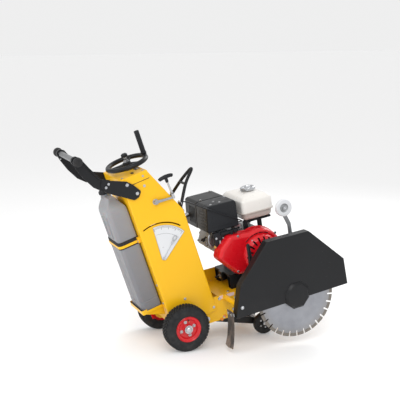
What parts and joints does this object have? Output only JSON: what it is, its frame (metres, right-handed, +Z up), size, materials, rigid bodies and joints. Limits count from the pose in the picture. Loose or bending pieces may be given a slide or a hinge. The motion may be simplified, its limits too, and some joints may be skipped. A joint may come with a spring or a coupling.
{
  "type": "walk-behind concrete saw",
  "caption": "Walk-behind saw: diamond blade under a hinged guard, petrol engine on a wheeled chassis, leaning control column with handwheel, handlebar and water tank.",
  "frame": {"origin": "on the ground under the middle of the machine's overall box", "axes": "+X the way it travels, +Y its left side, +Z up; the blade is on the -Y side"},
  "size_m": [1.4808, 0.632, 1.1646],
  "materials": {
    "yellow_paint": "satin powder coat",
    "black_paint": "satin powder coat",
    "red_paint": "gloss",
    "tyre_rubber": "matt",
    "black_rubber": "matt",
    "grey_plastic": "translucent matt",
    "white_paint": "gloss",
    "white_plastic": "satin",
    "black_plastic": "matt",
    "zinc": "zinc plated",
    "steel": "ground",
    "cast_alloy": "as cast",
    "brass": "satin"
  },
  "bodies": {
    "frame": {"chassis_frame": "yellow_paint", "engine_platform": "black_paint", "crankcase": "cast_alloy", "cylinder": "cast_alloy", "fan_shroud": "red_paint", "recoil_starter": "red_paint", "fuel_tank": "white_paint", "air_cleaner": "black_plastic", "muffler": "black_paint", "carburettor": "cast_alloy", "throttle_cable": "black_plastic", "spark_plug_cap": "black_rubber", "drive_belt": "black_rubber", "belt_guard": "black_paint", "bearing_right": "black_paint", "bearing_left": "black_paint", "rear_axle": "zinc", "column_shell": "yellow_paint", "column_cap": "yellow_paint", "screw_bearing": "cast_alloy", "water_tank": "grey_plastic", "tank_band": "yellow_paint", "tank_shelf": "yellow_paint", "water_valve": "brass", "depth_scale": "white_plastic", "lifting_bail": "black_paint"},
    "rear_wheel_right": {"rear_tyre_right": "tyre_rubber", "rear_rim_right": "red_paint"},
    "rear_wheel_left": {"rear_tyre_left": "tyre_rubber", "rear_rim_left": "red_paint"},
    "swing": {"swing_frame": "black_paint", "front_axle": "zinc"},
    "front_wheel_right": {"front_wheel_right": "black_rubber"},
    "front_wheel_left": {"front_wheel_left": "black_rubber"},
    "handwheel": {"handwheel": "black_paint", "depth_screw": "steel"},
    "crank_grip": {"crank_grip": "black_plastic"},
    "lock_knob": {"lock_knob": "black_plastic"},
    "lift_rod": {"lift_rod": "steel"},
    "depth_pointer": {"depth_pointer": "zinc"},
    "release_lever": {"release_lever": "zinc"},
    "pull_rod": {"pull_rod": "zinc", "t_handle": "black_plastic"},
    "handlebar": {"handlebar_arm_right": "black_paint", "handlebar_arm_left": "black_paint", "handlebar_tube": "zinc"},
    "recoil_handle": {"recoil_handle": "black_plastic"},
    "fuel_cap": {"fuel_cap": "zinc"},
    "tank_cap": {"tank_cap": "black_plastic"},
    "valve_lever": {"valve_lever": "red_paint"},
    "throttle_lever": {"throttle_lever": "zinc"},
    "blade": {"blade": "steel", "blade_shaft": "steel", "shaft_pulley": "steel", "outer_flange": "zinc"},
    "engine_shaft": {"engine_pulley": "steel"},
    "guard": {"blade_guard": "black_paint", "splash_flap": "black_rubber"},
    "guide": {"guide_arm": "zinc"},
    "guide_roller": {"guide_roller": "white_plastic"}
  },
  "joints": [
    {"name": "rear_wheel_right_spin", "type": "hinge", "parent": "frame", "child": "rear_wheel_right", "pos_m": [-0.15146, -0.138, 0.1267], "axis": [0, 1, 0], "continuous": true},
    {"name": "rear_wheel_left_spin", "type": "hinge", "parent": "frame", "child": "rear_wheel_left", "pos_m": [-0.15146, 0.262, 0.1267], "axis": [0, 1, 0], "continuous": true},
    {"name": "swing_pivot", "type": "hinge", "parent": "frame", "child": "swing", "pos_m": [-0.00062, 0.062, 0.13393], "axis": [0, -1, 0], "range_deg": [-3, 25]},
    {"name": "front_wheel_right_spin", "type": "hinge", "parent": "swing", "child": "front_wheel_right", "pos_m": [0.35302, -0.054, 0.06137], "axis": [0, 1, 0], "continuous": true},
    {"name": "front_wheel_left_spin", "type": "hinge", "parent": "swing", "child": "front_wheel_left", "pos_m": [0.35302, 0.178, 0.06137], "axis": [0, 1, 0], "continuous": true},
    {"name": "handwheel_turn", "type": "hinge", "parent": "frame", "child": "handwheel", "pos_m": [-0.40049, 0.062, 0.99475], "axis": [-0.3223, 0, 0.9466], "range_deg": [-205, 1670]},
    {"name": "crank_grip_spin", "type": "hinge", "parent": "handwheel", "child": "crank_grip", "pos_m": [-0.32718, 0.062, 1.10211], "axis": [-0.3223, 0, 0.9466], "continuous": true},
    {"name": "lock_knob_turn", "type": "hinge", "parent": "handwheel", "child": "lock_knob", "pos_m": [-0.41274, 0.062, 1.03073], "axis": [-0.3223, 0, 0.9466], "range_deg": [-180, 180]},
    {"name": "lift_rod_slide", "type": "slide", "parent": "frame", "child": "lift_rod", "axis": [-0.3223, 0, 0.9466], "range_m": [-0.048, 0.007]},
    {"name": "depth_pointer_turn", "type": "hinge", "parent": "frame", "child": "depth_pointer", "pos_m": [-0.25316, -0.085, 0.503], "axis": [0, -1, 0], "range_deg": [-6, 48]},
    {"name": "release_lever_turn", "type": "hinge", "parent": "frame", "child": "release_lever", "pos_m": [-0.29779, -0.095, 0.80788], "axis": [0, -1, 0], "range_deg": [0, 30]},
    {"name": "pull_rod_pivot", "type": "hinge", "parent": "release_lever", "child": "pull_rod", "pos_m": [-0.20337, -0.095, 0.82841], "axis": [0, -1, 0], "range_deg": [-30, 0]},
    {"name": "handlebar_tilt", "type": "hinge", "parent": "frame", "child": "handlebar", "pos_m": [-0.39805, 0.062, 0.86037], "axis": [0, -1, 0], "range_deg": [-12, 12]},
    {"name": "recoil_pull", "type": "slide", "parent": "frame", "child": "recoil_handle", "axis": [-0.6935, 0, 0.7204], "range_m": [0, 0.45]},
    {"name": "fuel_cap_turn", "type": "hinge", "parent": "frame", "child": "fuel_cap", "pos_m": [0.31123, 0.082, 0.79727], "axis": [-0.1633, 0, 0.9866], "range_deg": [0, 90]},
    {"name": "tank_cap_turn", "type": "hinge", "parent": "frame", "child": "tank_cap", "pos_m": [-0.51719, 0.092, 0.84728], "axis": [-0.3223, 0, 0.9466], "continuous": true},
    {"name": "valve_lever_turn", "type": "hinge", "parent": "frame", "child": "valve_lever", "pos_m": [-0.28414, 0.038, 0.17512], "axis": [0, 1, 0], "range_deg": [0, 90]},
    {"name": "throttle_lever_turn", "type": "hinge", "parent": "frame", "child": "throttle_lever", "pos_m": [0.20319, -0.026, 0.61721], "axis": [0, 1, 0], "range_deg": [0, 30]},
    {"name": "blade_spin", "type": "hinge", "parent": "frame", "child": "blade", "pos_m": [0.43009, -0.275, 0.26909], "axis": [0, 1, 0], "continuous": true},
    {"name": "engine_shaft_spin", "type": "hinge", "parent": "frame", "child": "engine_shaft", "pos_m": [0.2956, 0.242, 0.48756], "axis": [0, 1, 0], "continuous": true},
    {"name": "guard_lift", "type": "hinge", "parent": "frame", "child": "guard", "pos_m": [0.10185, -0.273, 0.24972], "axis": [0, -1, 0], "range_deg": [0, 55]},
    {"name": "guide_fold", "type": "hinge", "parent": "frame", "child": "guide", "pos_m": [0.53493, -0.091, 0.30317], "axis": [0, 1, 0], "range_deg": [0, 135]},
    {"name": "guide_roller_spin", "type": "hinge", "parent": "guide", "child": "guide_roller", "pos_m": [0.43511, -0.106, 0.7225], "axis": [0, 1, 0], "continuous": true}
  ],
  "couplings": [
    {"joint": "handwheel_turn", "follows": "swing_pivot", "ratio": 66.602},
    {"joint": "lift_rod_slide", "follows": "swing_pivot", "m_per_rad": -0.1059},
    {"joint": "depth_pointer_turn", "follows": "swing_pivot", "ratio": 1.9},
    {"joint": "pull_rod_pivot", "follows": "release_lever_turn", "ratio": -1},
    {"joint": "engine_shaft_spin", "follows": "blade_spin", "ratio": 1.2}
  ]
}
